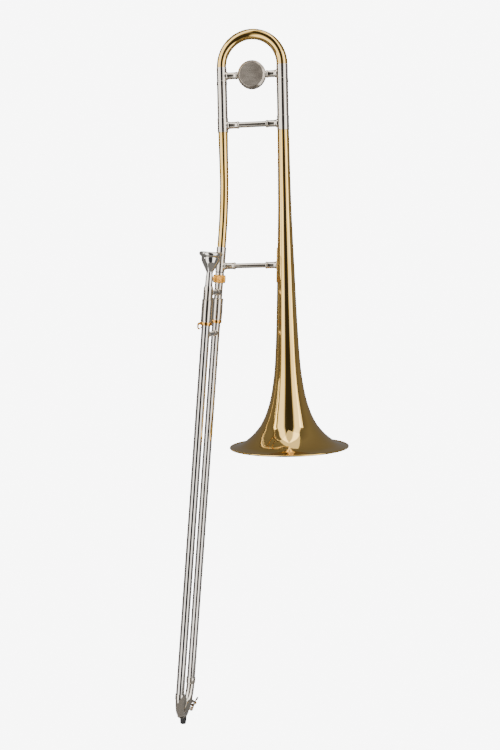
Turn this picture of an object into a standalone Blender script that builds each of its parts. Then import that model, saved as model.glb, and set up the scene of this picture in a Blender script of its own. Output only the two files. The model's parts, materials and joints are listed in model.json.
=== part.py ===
# Tenor trombone, built piece by piece at real size.
# Metres, +Z up along the bell's axis, +X from the neckpipe towards the bell, -Y towards the player's
# side of the slide. The origin is the middle of the bell's mouth, in the plane of its rim bead.

import math

import bmesh
import bpy
import numpy as np
from mathutils import Matrix, Vector

# Clearances
fit_gap = 0.0003

# Bell
bell_rim_radius = 0.1016
bell_tail_radius = 0.0098
bell_length = 0.530
bell_wall = 0.0006
bell_bead_radius = 0.0016
# Each pair: share of the length above the mouth, share of the growth from tail to rim
bell_outline = (
    (1.0, 0.0),
    (0.906, 0.0060),
    (0.830, 0.0114),
    (0.755, 0.0185),
    (0.679, 0.0321),
    (0.604, 0.0468),
    (0.536, 0.0605),
    (0.462, 0.0741),
    (0.387, 0.0915),
    (0.313, 0.1127),
    (0.238, 0.1471),
    (0.164, 0.2157),
    (0.113, 0.3020),
    (0.0755, 0.4050),
    (0.0566, 0.4840),
    (0.0377, 0.5850),
    (0.0189, 0.7190),
    (0.0094, 0.8140),
    (0.0, 1.0),
)

# Tuning slide and the two tubes that it runs in
tube_spacing = 0.102
tube_wall = 0.0004
bell_leg_radius = 0.0089
neck_leg_radius = 0.0077
bell_bow_radius = 0.0094
neck_bow_radius = 0.0079
ferrule_length = 0.0245
slide_tube_length = 0.0570
mouth_ring_height = 0.0022
mouth_ring_stand = 0.0004
bow_ferrule_length = 0.0250
bow_joint_depth = 0.0100
leg_end_clear = 0.0025

# Neckpipe, receiver and lock nut
neck_top_radius = 0.00815
neck_radius = 0.00735
neck_wall = 0.0006
neck_taper_length = 0.080
slide_lean = math.radians(5.6)
bend_corner_height = 0.4144
bend_half_length = 0.050
receiver_top = 0.0745
receiver_length = 0.0414
receiver_radius = 0.0082
receiver_foot_radius = 0.0078
neck_seat_depth = 0.0115
washer_thickness = 0.0012
washer_radius = 0.0079
thread_radius = 0.0074
thread_length = 0.0110
nut_drop = 0.0056
nut_length = 0.0136
nut_radius = 0.0111
nut_end_radius = 0.0096
nut_knurls = 30
knurl_depth = 0.0004

# Braces of the bell section and the counterweight
brace_radius = 0.0048
socket_radius = 0.0058
socket_length = 0.0185
socket_collar = 0.0005
upper_brace_height = 0.5420
lower_brace_height = 0.3080
lower_brace_radius = 0.0043
lower_socket_radius = 0.0056
saddle_half_length = 0.0290
saddle_thickness = 0.0010
saddle_half_angle = math.radians(28)
weight_brace_height = 0.6230
weight_radius = 0.0234
weight_face_radius = 0.0198
weight_thickness = 0.0150
weight_bevel = 0.0030

# Hand slide, measured down the slide's axis from the corner of the neckpipe's bend
slide_spacing = 0.080
bore_radius = 0.00635
inner_tube_radius = 0.00655
stocking_radius = 0.00665
stocking_length = 0.100
outer_tube_wall = 0.0003
tenon_seat_radius = 0.0067
tenon_radius = 0.0071
tenon_top = 0.0880
barrel_top = 0.1612
barrel_length = 0.0366
barrel_radius = 0.00925
barrel_end_radius = 0.0087
barrel_collar = 0.0003
barrel_lip_radius = 0.0082
barrel_lip_length = 0.0056
bumper_top = 0.1770
bumper_length = 0.0090
barrel_ring_radius = 0.0093
barrel_ring_length = 0.0050
inner_brace_down = 0.1505
outer_brace_down = 0.2200
slide_brace_radius = 0.0042
inner_socket_radius = 0.0053
outer_socket_radius = 0.0046
slide_socket_length = 0.0120
leadpipe_radius = 0.00605
leadpipe_wall = 0.0003
leadpipe_length = 0.220
lower_ferrule_down = 0.8310
lower_ferrule_length = 0.0100
lower_ferrule_radius = 0.0081
bow_centre_down = 0.8396
slide_bow_radius = 0.0072
slide_bow_wall = 0.0005
inner_end_clear = 0.0140
tube_joint_depth = 0.0050

# Mouthpiece and its receiver
mouth_receiver_top = 0.1391
mouth_receiver_radius = 0.0080
mouth_receiver_nose = 0.0069
mouthpiece_top = 0.0835
rim_radius = 0.0193
rim_width = 0.0066
cup_depth = 0.0240
throat_radius = 0.0033
shank_depth = 0.0200
shank_radius = 0.0062
shank_taper = 0.0006
stem_radius = 0.0055

# Slide lock
lock_ring_radius = 0.0099
lock_ring_length = 0.0053
hook_reach = 0.0146
hook_thickness = 0.0026
hook_half_width = 0.0015
lock_turn = math.radians(28)
catch_pin_radius = 0.0012
catch_reach = 0.0108
catch_down = 0.2075
catch_foot_radius = 0.0020
catch_foot_height = 0.0008

# Bow fittings
guard_start = math.radians(74)
guard_end = math.radians(124)
guard_half_angle = math.radians(50)
guard_thickness = 0.0008
tip_radius = 0.0058
tip_end_radius = 0.0046
tip_end_down = 0.8998
tip_chamfer = 0.0010
key_bow_angle = math.radians(62)
key_tilt = math.radians(50)
nipple_radius = 0.0030
nipple_bore = 0.0013
nipple_height = 0.0013
cork_radius = 0.0033
cork_thickness = 0.0020
cup_radius = 0.0041
cup_thickness = 0.0012
lever_half_width = 0.0016
lever_thickness = 0.0016
lever_reach = 0.0120
finger_reach = 0.0150
finger_rise = 0.0030
finger_radius = 0.0042
knuckle_radius = 0.0021
knuckle_stand = 0.0002
key_screw_radius = 0.0008
ear_thickness = 0.0011
ear_half_length = 0.0024
spring_wire = 0.0004
spring_radius = 0.0019
spring_pitch = 0.00085
spring_turns = 2
spring_start = lever_half_width + knuckle_stand + fit_gap + spring_wire / 2
ear_inside = spring_start + spring_turns * spring_pitch + spring_wire / 2 + fit_gap

# Mesh fineness
bell_steps = 32
tube_steps = 16
bend_steps = 16
socket_steps = 16
bow_steps = 15
cutter_steps = 49


def clear_scene():
    for old in list(bpy.data.objects):
        bpy.data.objects.remove(old, do_unlink=True)


def finish_of(name, colour, roughness, metallic):
    material = bpy.data.materials.new(name)
    material.use_nodes = True
    shader = material.node_tree.nodes["Principled BSDF"]
    shader.inputs["Base Color"].default_value = (*colour, 1.0)
    shader.inputs["Roughness"].default_value = roughness
    shader.inputs["Metallic"].default_value = metallic
    return material


def empty_at(name, place, turn=None, parent=None):
    """An empty that carries one moving group, standing on its joint's axis."""
    holder = bpy.data.objects.new(name, None)
    bpy.context.scene.collection.objects.link(holder)
    holder.matrix_world = Matrix.Translation(place) @ (turn.to_4x4() if turn else Matrix())
    if parent:
        holder.parent = parent
        holder.matrix_parent_inverse = parent.matrix_world.inverted()
    return holder


def add_object(name, work, material, parent, local=None, sharp=math.radians(35)):
    """Makes an object from a bmesh, in the axes of the empty that carries it."""
    bmesh.ops.remove_doubles(work, verts=work.verts, dist=1e-7)
    bmesh.ops.recalc_face_normals(work, faces=work.faces)
    mesh = bpy.data.meshes.new(name)
    work.to_mesh(mesh)
    work.free()
    mesh.shade_smooth()
    mesh.set_sharp_from_angle(angle=sharp)
    if material:
        mesh.materials.append(material)
    made = bpy.data.objects.new(name, mesh)
    bpy.context.scene.collection.objects.link(made)
    made.parent = parent
    if local:
        made.matrix_local = local
    return made


def spin_outline(work, outline, steps, sweep=2 * math.pi, start=0.0):
    """Turns a closed outline of (radius, height) pairs about Z. It may touch the axis at its two ends."""
    verts = [
        work.verts.new((radius * math.cos(start), radius * math.sin(start), height))
        for radius, height in outline
    ]
    edges = [work.edges.new(pair) for pair in zip(verts[:-1], verts[1:])]
    if outline[0][0] > 0 or outline[-1][0] > 0:
        edges.append(work.edges.new((verts[-1], verts[0])))
    whole = sweep > 6.28
    spun = bmesh.ops.spin(
        work,
        geom=verts + edges,
        cent=(0, 0, 0),
        axis=(0, 0, 1),
        angle=sweep,
        steps=steps,
        use_merge=whole,
    )
    if not whole:
        last = [item for item in spun["geom_last"] if isinstance(item, bmesh.types.BMVert)]
        work.faces.new(verts)
        work.faces.new(last)


def turned(name, outline, material, parent, local=None, steps=tube_steps):
    work = bmesh.new()
    spin_outline(work, outline, steps)
    return add_object(name, work, material, parent, local)


def pipe_outline(outer, inner, top, foot):
    """A plain tube's outline, from its top height to its foot height."""
    return [(outer, top), (outer, foot), (inner, foot), (inner, top)]


def loft(work, rows, closed):
    """Faces between rows of points: each row is a closed ring, and the rows close up too if asked."""
    grid = [[work.verts.new(point) for point in row] for row in rows]
    pairs = list(zip(grid[:-1], grid[1:]))
    if closed:
        pairs.append((grid[-1], grid[0]))
    count = len(grid[0])
    for first, second in pairs:
        for i in range(count):
            j = (i + 1) % count
            work.faces.new((first[i], first[j], second[j], second[i]))
    if not closed:
        work.faces.new(grid[0])
        work.faces.new(grid[-1])


def ring_points(centre, along, side, radius, steps):
    """A ring square to the path's direction, in a bend whose plane has the normal named side."""
    centre = np.array(centre)
    side = np.array(side)
    normal = np.cross(side, np.array(along))
    angles = np.linspace(0, 2 * math.pi, steps, endpoint=False)
    return centre + radius * (
        np.cos(angles)[:, None] * side + np.sin(angles)[:, None] * normal
    )


def bent_pipe(name, path, side, material, parent, steps=bend_steps, solid=False):
    """A tube along a bend. Each path entry is (centre, direction, outer radius, inner radius)."""
    outer = [ring_points(c, d, side, ro, steps) for c, d, ro, ri in path]
    inner = [ring_points(c, d, side, ri, steps) for c, d, ro, ri in reversed(path)]
    work = bmesh.new()
    if solid:
        loft(work, outer, closed=False)
    else:
        loft(work, outer + inner, closed=True)
    return add_object(name, work, material, parent)


def box_shape(work, low, high):
    made = bmesh.ops.create_cube(work, size=1.0)
    low = Vector(low)
    high = Vector(high)
    for vert in made["verts"]:
        vert.co = Vector(
            [(a + b) / 2 + v * (b - a) for a, b, v in zip(low, high, vert.co)]
        )


def prism(work, outline, half_width):
    """A closed outline of (x, z) pairs, given width along Y."""
    near = [work.verts.new((x, -half_width, z)) for x, z in outline]
    far = [work.verts.new((x, half_width, z)) for x, z in outline]
    work.faces.new(near)
    work.faces.new(list(reversed(far)))
    for i in range(len(near)):
        j = (i + 1) % len(near)
        work.faces.new((near[i], far[i], far[j], near[j]))


def as_cutter(shape):
    shape.hide_render = True
    shape.display_type = "WIRE"
    shape.hide_viewport = False
    return shape


def boolean(target, other, operation="DIFFERENCE"):
    step = target.modifiers.new(operation.lower(), "BOOLEAN")
    step.operation = operation
    step.object = other
    step.solver = "EXACT"
    as_cutter(other)


def along_x(place):
    """Local +Z laid along +X, at a place."""
    return Matrix.Translation(place) @ Matrix.Rotation(math.pi / 2, 4, "Y")


def along_minus_x(place):
    return Matrix.Translation(place) @ Matrix.Rotation(-math.pi / 2, 4, "Y")


def along_minus_y(place):
    return Matrix.Translation(place) @ Matrix.Rotation(math.pi / 2, 4, "X")


def along_y(place):
    return Matrix.Translation(place) @ Matrix.Rotation(-math.pi / 2, 4, "X")


def bell_curve():
    """The bell's outer side from tail to rim, as rows of (radius, height)."""
    growth = bell_rim_radius - bell_tail_radius
    drop = bell_bead_radius - bell_wall
    pairs = [
        (bell_tail_radius + grown * growth, share * bell_length - drop * (1 - share))
        for share, grown in bell_outline
    ]
    return np.array(pairs)


def bell_radius_at(height):
    curve = bell_curve()
    return float(np.interp(height, curve[::-1, 1], curve[::-1, 0]))


def offset_curve(curve, distance):
    """The curve moved outwards, square to itself, by a distance."""
    slope = np.gradient(curve, axis=0)
    length = np.linalg.norm(slope, axis=1)[:, None]
    normal = np.stack([-slope[:, 1], slope[:, 0]], axis=1) / length
    return curve + normal * distance


def socket_outline(base, length, radius, bore, collar):
    """A brace socket from the axis of the tube that it stands on: flared foot, barrel and end collar."""
    end = base + length
    flare = 0.0030
    return [
        (0, 0),
        (radius * 1.18, 0),
        (radius * 1.18, base + flare * 0.3),
        (radius * 1.04, base + flare * 0.8),
        (radius, base + flare * 1.5),
        (radius, end - 0.0030),
        (radius + collar, end - 0.0024),
        (radius + collar, end - 0.0006),
        (radius, end),
        (bore, end),
        (bore, base + flare),
        (0, base + flare),
    ]


def make_bell(parent, brass):
    curve = bell_curve()
    tail_seat = bell_tail_radius - 0.00035
    seat_end = bell_length + ferrule_length * 0.42
    bead_place = (bell_rim_radius - bell_bead_radius, 0.0)
    keep = curve[:, 0] < bell_rim_radius - 2.1 * bell_bead_radius
    outer = curve[keep]
    inner = offset_curve(curve, -bell_wall)
    inner_end = np.array([[bead_place[0], -bell_bead_radius]])
    angles = np.radians(np.arange(165, -91, -36.4))
    bead = np.stack(
        [
            bead_place[0] + bell_bead_radius * np.cos(angles),
            bead_place[1] + bell_bead_radius * np.sin(angles),
        ],
        axis=1,
    )
    inside = inner[keep][::-1]
    outline = [(tail_seat, seat_end), (tail_seat, bell_length + fit_gap)]
    outline += [tuple(pair) for pair in outer]
    outline += [tuple(pair) for pair in bead[:-1]]
    outline += [tuple(inner_end[0])]
    outline += [tuple(pair) for pair in inside]
    outline += [(tail_seat - bell_wall, bell_length), (tail_seat - bell_wall, seat_end)]
    return turned("bell", outline, brass, parent, steps=bell_steps)


def make_bell_section(nickel, brass, dark):
    """The fixed half: bell, neckpipe, the tubes that take the tuning slide, braces and receiver."""
    root = empty_at("bell_section", (0, 0, 0))
    make_bell(root, brass)
    ferrule_foot = bell_length
    ferrule_top = ferrule_foot + ferrule_length
    joint = ferrule_foot + ferrule_length * 0.45
    tube_top = ferrule_top + slide_tube_length

    def slide_tube(name, leg_radius, x):
        bore = leg_radius + fit_gap
        outer = bore + tube_wall + 0.0001
        seat = outer - 0.00025
        ring = outer + mouth_ring_stand
        place = Matrix.Translation((x, 0, 0))
        outline = [
            (ring, tube_top),
            (ring, tube_top - mouth_ring_height),
            (outer, tube_top - mouth_ring_height),
            (outer, ferrule_top + fit_gap),
            (seat, ferrule_top + fit_gap),
            (seat, joint + fit_gap),
            (bore - 0.00005, joint + fit_gap),
            (bore, tube_top),
        ]
        turned(name, outline, nickel, root, place)
        return outer, seat

    bell_outer, bell_seat = slide_tube("bell_slide_tube", bell_leg_radius, 0.0)
    neck_outer, neck_seat = slide_tube("neck_slide_tube", neck_leg_radius, -tube_spacing)

    def ferrule(name, seat, x, foot):
        bore = seat + fit_gap
        outer = bore + tube_wall
        outline = [
            (outer, ferrule_top - 0.0005),
            (outer + 0.0002, ferrule_top - 0.0025),
            (outer, ferrule_top - 0.0045),
            (outer, foot + 0.0010),
            (outer - 0.0002, foot),
            (bore, foot),
            (bore, ferrule_top),
            (outer - 0.0002, ferrule_top),
        ]
        turned(name, outline, nickel, root, Matrix.Translation((x, 0, 0)))
        return outer

    bell_ferrule_radius = ferrule("bell_ferrule", bell_seat, 0.0, ferrule_foot + 2 * fit_gap)
    neck_ferrule_radius = ferrule("neck_ferrule", neck_seat, -tube_spacing, ferrule_foot + 2 * fit_gap)

    make_neckpipe(root, brass, ferrule_foot, joint, neck_seat)
    make_receiver(root, nickel, dark)
    neck_side = neck_ferrule_radius + 0.0002
    make_upper_brace(root, nickel, neck_side, bell_ferrule_radius + 0.0002)
    make_lower_brace(root, nickel, brass)
    return root, tube_top


def neck_path(ferrule_foot, joint, seat):
    """Centres, directions and radii down the neckpipe: straight, a gentle bend, straight to its seat."""
    down = np.array([0.0, 0.0, -1.0])
    corner = np.array([-tube_spacing, 0.0, bend_corner_height])
    lean = np.array([-math.sin(slide_lean), 0.0, -math.cos(slide_lean)])
    bend_radius = bend_half_length / math.tan(slide_lean / 2)
    path = []

    def add(centre, direction, outer, inner):
        path.append((centre, direction, outer, inner))

    top = np.array([-tube_spacing, 0.0, joint - fit_gap])
    foot = np.array([-tube_spacing, 0.0, ferrule_foot + fit_gap])
    add(top, down, seat, seat - neck_wall)
    add(foot, down, seat, seat - neck_wall)
    add(foot - (0, 0, fit_gap), down, neck_top_radius, seat - neck_wall)
    taper_foot = foot - (0, 0, neck_taper_length)
    bend_top = corner - down * bend_half_length
    if taper_foot[2] > bend_top[2] + 0.001:
        add(taper_foot, down, neck_radius, neck_radius - neck_wall)
    centre = bend_top + np.array([-bend_radius, 0.0, 0.0])
    for share in np.linspace(0, 1, 6):
        turn = share * slide_lean
        place = centre + bend_radius * np.array([math.cos(turn), 0.0, -math.sin(turn)])
        add(place, np.array([-math.sin(turn), 0.0, -math.cos(turn)]), neck_radius, neck_radius - neck_wall)
    end = corner + lean * (receiver_top + neck_seat_depth)
    add(end, lean, neck_radius, neck_radius - neck_wall)
    return path


def make_neckpipe(parent, brass, ferrule_foot, joint, seat):
    path = neck_path(ferrule_foot, joint, seat)
    bent_pipe("neckpipe", path, (0, 1, 0), brass, parent, steps=tube_steps)


def slide_axis_matrix():
    """The slide's own axes: +Z up its axis, from the corner of the neckpipe's bend."""
    corner = Matrix.Translation((-tube_spacing, 0, bend_corner_height))
    return corner @ Matrix.Rotation(slide_lean, 4, "Y")


def make_receiver(parent, nickel, dark):
    local = slide_axis_matrix()
    foot = receiver_top + receiver_length
    bore = tenon_seat_radius + fit_gap
    pipe_bore = neck_radius + fit_gap
    seat = receiver_top + neck_seat_depth + fit_gap
    outline = [
        (receiver_radius - 0.0004, -receiver_top),
        (receiver_radius, -receiver_top - 0.0012),
        (receiver_foot_radius, -foot),
        (bore, -foot),
        (bore, -seat),
        (pipe_bore, -seat),
        (pipe_bore, -receiver_top),
    ]
    turned("slide_receiver", outline, nickel, parent, local)
    washer_foot = foot + fit_gap + washer_thickness
    outline = pipe_outline(washer_radius, bore, -foot - fit_gap, -washer_foot)
    turned("receiver_washer", outline, dark, parent, local)
    thread_top = washer_foot + fit_gap
    outline = [
        (thread_radius - 0.0003, -thread_top),
        (thread_radius, -thread_top - 0.0008),
        (thread_radius, -thread_top - thread_length),
        (bore, -thread_top - thread_length),
        (bore, -thread_top),
    ]
    turned("receiver_thread", outline, nickel, parent, local)


def post_cutter(name, radius, parent, local, length=0.040):
    work = bmesh.new()
    outline = [(0, length / 2), (radius, length / 2), (radius, -length / 2), (0, -length / 2)]
    spin_outline(work, outline, tube_steps)
    return add_object(name, work, None, parent, local)


def make_brace_tube(name, radius, length, material, parent, local):
    outline = pipe_outline(radius, radius - tube_wall * 1.5, length, 0.0)
    turned(name, outline, material, parent, local, steps=socket_steps)


def make_upper_brace(parent, nickel, neck_side, bell_side):
    height = upper_brace_height
    left = along_x((-tube_spacing, 0, height))
    right = along_minus_x((0, 0, height))
    bore = brace_radius + fit_gap
    shape = socket_outline(neck_side, socket_length, socket_radius, bore, socket_collar)
    socket = turned("upper_brace_socket_neck", shape, nickel, parent, left, steps=socket_steps)
    place = Matrix.Translation((-tube_spacing, 0, height))
    boolean(socket, post_cutter("neck_ferrule_space", neck_side + fit_gap, parent, place))
    shape = socket_outline(bell_side, socket_length, socket_radius, bore, socket_collar)
    socket = turned("upper_brace_socket_bell", shape, nickel, parent, right, steps=socket_steps)
    place = Matrix.Translation((0, 0, height))
    boolean(socket, post_cutter("bell_ferrule_space", bell_side + fit_gap, parent, place))
    start = neck_side + 0.0030 + fit_gap
    length = tube_spacing - start - bell_side - 0.0030 - fit_gap
    local = along_x((-tube_spacing + start, 0, height))
    make_brace_tube("upper_brace_tube", brace_radius, length, nickel, parent, local)


def make_lower_brace(parent, nickel, brass):
    """The brace from the receiver to a long saddle on the bell's side."""
    height = lower_brace_height
    down = (bend_corner_height - height) / math.cos(slide_lean)
    receiver_x = -tube_spacing - down * math.sin(slide_lean)
    bell_side = bell_radius_at(height)
    saddle_out = fit_gap + saddle_thickness
    bore = lower_brace_radius + fit_gap
    left = along_x((receiver_x, 0, height))
    shape = socket_outline(
        receiver_radius, socket_length, lower_socket_radius, bore, socket_collar
    )
    socket = turned("lower_brace_socket_neck", shape, nickel, parent, left, steps=socket_steps)
    place = slide_axis_matrix() @ Matrix.Translation((0, 0, -down))
    boolean(socket, post_cutter("receiver_space", receiver_radius + fit_gap, parent, place))
    right = along_minus_x((0, 0, height))
    shape = socket_outline(
        bell_side + saddle_out, socket_length, lower_socket_radius, bore, socket_collar
    )
    socket = turned("lower_brace_socket_bell", shape, nickel, parent, right, steps=socket_steps)

    near = [
        (bell_radius_at(height + step * saddle_half_length), height + step * saddle_half_length)
        for step in (1, 0.5, 0, -0.5, -1)
    ]
    skin = [(radius + saddle_out + fit_gap, z) for radius, z in near]
    work = bmesh.new()
    spin_outline(work, [(0, skin[0][1])] + skin + [(0, skin[-1][1])], tube_steps)
    boolean(socket, add_object("saddle_space", work, None, parent))

    saddle = [(radius + saddle_out, z) for radius, z in near]
    saddle += [(radius + fit_gap, z) for radius, z in reversed(near)]
    work = bmesh.new()
    spin_outline(
        work,
        saddle,
        8,
        sweep=2 * saddle_half_angle,
        start=math.pi - saddle_half_angle,
    )
    add_object("bell_saddle", work, brass, parent)

    start = receiver_radius + 0.0030 + fit_gap
    end = bell_side + saddle_out + 0.0030 + fit_gap
    length = -receiver_x - start - end
    local = along_x((receiver_x + start, 0, height))
    make_brace_tube("lower_brace_tube", lower_brace_radius, length, nickel, parent, local)


def make_tuning_slide(root, tube_top, nickel, brass):
    """The bow, its ferrules and legs, and the counterweight on its brace."""
    body = empty_at("tuning_slide", (0, 0, tube_top), parent=root)
    lift = -tube_top
    ferrule_foot = tube_top + 2 * fit_gap
    ferrule_top = ferrule_foot + bow_ferrule_length
    bow_foot = ferrule_top - bow_joint_depth
    leg_foot = tube_top - slide_tube_length + leg_end_clear
    sides = []
    for side, leg, x in (
        ("bell", bell_leg_radius, 0.0),
        ("neck", neck_leg_radius, -tube_spacing),
    ):
        place = Matrix.Translation((x, 0, lift))
        bore = leg + fit_gap
        outer = bore + tube_wall
        outline = [
            (outer - 0.0001, ferrule_top),
            (outer, ferrule_top - 0.0008),
            (outer, ferrule_foot + 0.0030),
            (outer + 0.0003, ferrule_foot + 0.0022),
            (outer + 0.0003, ferrule_foot),
            (bore, ferrule_foot),
            (bore, ferrule_top),
        ]
        turned("bow_ferrule_" + side, outline, nickel, body, place)
        outline = pipe_outline(leg, leg - tube_wall, bow_foot - fit_gap, leg_foot)
        turned("tuning_leg_" + side, outline, nickel, body, place)
        sides.append(outer)
    make_tuning_bow(body, lift, ferrule_top, bow_foot, brass)
    make_counterweight(body, lift, sides, nickel)
    return body


def make_tuning_bow(body, lift, ferrule_top, bow_foot, brass):
    """A half circle whose tube grows from the neck's side to the bell's."""
    radius = tube_spacing / 2
    base = ferrule_top + fit_gap
    up = np.array([0.0, 0.0, 1.0])
    path = []

    def add(x, z, direction, outer, inner):
        path.append((np.array([x, 0.0, z + lift]), direction, outer, inner))

    neck_seat = neck_leg_radius
    bell_seat = bell_leg_radius
    add(-tube_spacing, bow_foot, up, neck_seat, neck_seat - tube_wall)
    add(-tube_spacing, base, up, neck_seat, neck_seat - tube_wall)
    add(-tube_spacing, base + fit_gap, up, neck_bow_radius, neck_seat - tube_wall)
    for share in np.linspace(0, 1, 13):
        turn = math.pi * (1 - share)
        x = -radius + radius * math.cos(turn)
        z = base + 0.0006 + radius * math.sin(turn)
        direction = np.array([math.sin(turn), 0.0, -math.cos(turn)])
        outer = neck_bow_radius + share * (bell_bow_radius - neck_bow_radius)
        inner = neck_seat + share * (bell_seat - neck_seat) - tube_wall
        add(x, z, direction, outer, inner)
    add(0.0, base + fit_gap, -up, bell_bow_radius, bell_seat - tube_wall)
    add(0.0, base, -up, bell_seat, bell_seat - tube_wall)
    add(0.0, bow_foot, -up, bell_seat, bell_seat - tube_wall)
    bent_pipe("tuning_bow", path, (0, 1, 0), brass, body, steps=tube_steps)


def make_counterweight(body, lift, sides, nickel):
    bell_side, neck_side = sides
    height = weight_brace_height + lift
    middle = -tube_spacing / 2
    bore = brace_radius + fit_gap
    for side, x, turn, reach in (
        ("neck", -tube_spacing, along_x, neck_side),
        ("bell", 0.0, along_minus_x, bell_side),
    ):
        length = tube_spacing / 2 - reach - weight_radius - 0.0006
        shape = socket_outline(reach, length, socket_radius, bore, socket_collar)
        local = turn((x, 0, height))
        socket = turned("weight_socket_" + side, shape, nickel, body, local, steps=socket_steps)
        place = Matrix.Translation((x, 0, height))
        cutter = post_cutter("bow_ferrule_space_" + side, reach + fit_gap, body, place, 0.020)
        boolean(socket, cutter)
    start = neck_side + 0.0030 + fit_gap
    length = tube_spacing - start - bell_side - 0.0030 - fit_gap
    local = along_x((-tube_spacing + start, 0, height))
    make_brace_tube("weight_brace_tube", brace_radius, length, nickel, body, local)
    half = weight_thickness / 2
    outline = [
        (0, half),
        (weight_face_radius, half),
        (weight_radius, half - weight_bevel),
        (weight_radius, weight_bevel - half),
        (weight_face_radius, -half),
        (0, -half),
    ]
    disc = turned(
        "counterweight", outline, nickel, body, along_minus_y((middle, 0, height)), steps=40
    )
    hole = along_x((middle, 0, height))
    boolean(disc, post_cutter("weight_bore", bore, body, hole, 0.060))


def make_inner_slide(root, nickel, gold, dark):
    """Tenon, mouthpiece receiver, inner tubes, cork barrels and their brace."""
    frame = slide_axis_matrix()
    body = empty_at(
        "inner_slide", frame.to_translation(), frame.to_3x3(), parent=root
    )
    upper = Matrix.Translation((0, -slide_spacing, 0))
    lower = Matrix()
    tenon_foot = barrel_top - fit_gap
    thread_foot = receiver_top + receiver_length + 2 * fit_gap + washer_thickness + thread_length
    shoulder = thread_foot + 2 * fit_gap
    outline = [
        (tenon_seat_radius - 0.0001, -tenon_top),
        (tenon_seat_radius, -shoulder),
        (tenon_radius, -shoulder),
        (tenon_radius, -tenon_foot),
        (bore_radius, -tenon_foot),
        (bore_radius, -tenon_top),
    ]
    turned("tenon", outline, nickel, body, lower)
    receiver_foot = barrel_top - fit_gap
    shank_end = mouth_receiver_top + shank_depth
    outline = [
        (mouth_receiver_nose, -mouth_receiver_top),
        (mouth_receiver_radius - 0.0002, -mouth_receiver_top - 0.0026),
        (mouth_receiver_radius, -mouth_receiver_top - 0.0040),
        (mouth_receiver_radius, -receiver_foot),
        (bore_radius, -receiver_foot),
        (bore_radius, -shank_end - fit_gap),
        (shank_radius - shank_taper + fit_gap, -shank_end - fit_gap),
        (shank_radius + fit_gap, -mouth_receiver_top),
    ]
    turned("mouthpiece_receiver", outline, nickel, body, upper)
    tube_end = lower_ferrule_down - inner_end_clear
    stocking_top = tube_end - stocking_length
    for side, place in (("upper", upper), ("lower", lower)):
        outline = [
            (inner_tube_radius, -barrel_top),
            (inner_tube_radius, -stocking_top),
            (stocking_radius, -stocking_top - 0.0010),
            (stocking_radius, -tube_end + 0.0005),
            (stocking_radius - 0.0001, -tube_end),
            (bore_radius, -tube_end),
            (bore_radius, -barrel_top),
        ]
        turned("inner_tube_" + side, outline, nickel, body, place)
        make_barrel(side, body, place, nickel)
        bumper_foot = bumper_top + bumper_length
        tube_side = inner_tube_radius + fit_gap
        outline = pipe_outline(tube_side + 0.0005, tube_side, -bumper_top, -bumper_foot)
        turned("barrel_bumper_" + side, outline, dark, body, place)
    pipe_top = barrel_top + fit_gap
    outline = [
        (leadpipe_radius, -pipe_top),
        (leadpipe_radius, -pipe_top - leadpipe_length),
        (leadpipe_radius - leadpipe_wall * 0.6, -pipe_top - leadpipe_length),
        (leadpipe_radius - leadpipe_wall * 2, -pipe_top),
    ]
    turned("leadpipe", outline, nickel, body, upper)
    lip_top = barrel_top + barrel_length + fit_gap
    outline = [
        (barrel_ring_radius - 0.0003, -lip_top),
        (barrel_ring_radius, -lip_top - 0.0010),
        (barrel_ring_radius, -lip_top - barrel_ring_length + 0.0010),
        (barrel_ring_radius - 0.0003, -lip_top - barrel_ring_length),
        (barrel_lip_radius + fit_gap, -lip_top - barrel_ring_length),
        (barrel_lip_radius + fit_gap, -lip_top),
    ]
    turned("barrel_ring_lower", outline, gold, body, lower)
    make_slide_brace(
        "inner_brace",
        inner_brace_down,
        tenon_radius,
        mouth_receiver_radius,
        inner_socket_radius,
        body,
        nickel,
    )
    return body


def make_barrel(side, body, place, nickel):
    """A cork barrel: snug on the inner tube at its top, wide below for the outer slide's end."""
    snug = inner_tube_radius + fit_gap
    wide = stocking_radius + fit_gap + outer_tube_wall + 0.0004
    foot = barrel_top + barrel_length
    lip_foot = foot + barrel_lip_length
    collar = barrel_radius + barrel_collar
    outline = [
        (collar - 0.0004, -barrel_top),
        (collar, -barrel_top - 0.0004),
        (collar, -barrel_top - 0.0012),
        (barrel_radius, -barrel_top - 0.0016),
        (barrel_radius, -foot + 0.0022),
        (barrel_end_radius, -foot),
        (barrel_lip_radius, -foot),
        (barrel_lip_radius, -lip_foot),
        (wide, -lip_foot),
        (wide, -bumper_top + fit_gap),
        (snug, -bumper_top + fit_gap),
        (snug, -barrel_top),
    ]
    turned("cork_barrel_" + side, outline, nickel, body, place)


def make_slide_brace(name, down, lower_side, upper_side, radius, body, nickel):
    """A brace between the two tubes of the slide, with a socket on each."""
    bore = slide_brace_radius + fit_gap
    length = slide_socket_length
    shape = socket_outline(lower_side, length, radius, bore, socket_collar * 0.6)
    local = along_minus_y((0, 0, -down))
    socket = turned(name + "_socket_lower", shape, nickel, body, local, steps=socket_steps)
    place = Matrix.Translation((0, 0, -down))
    boolean(socket, post_cutter(name + "_lower_space", lower_side + fit_gap, body, place, 0.020))
    shape = socket_outline(upper_side, length, radius, bore, socket_collar * 0.6)
    local = along_y((0, -slide_spacing, -down))
    socket = turned(name + "_socket_upper", shape, nickel, body, local, steps=socket_steps)
    place = Matrix.Translation((0, -slide_spacing, -down))
    boolean(socket, post_cutter(name + "_upper_space", upper_side + fit_gap, body, place, 0.020))
    start = lower_side + 0.0030 + fit_gap
    end = upper_side + 0.0030 + fit_gap
    local = along_minus_y((0, -start, -down))
    make_brace_tube(
        name + "_tube", slide_brace_radius, slide_spacing - start - end, nickel, body, local
    )


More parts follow.
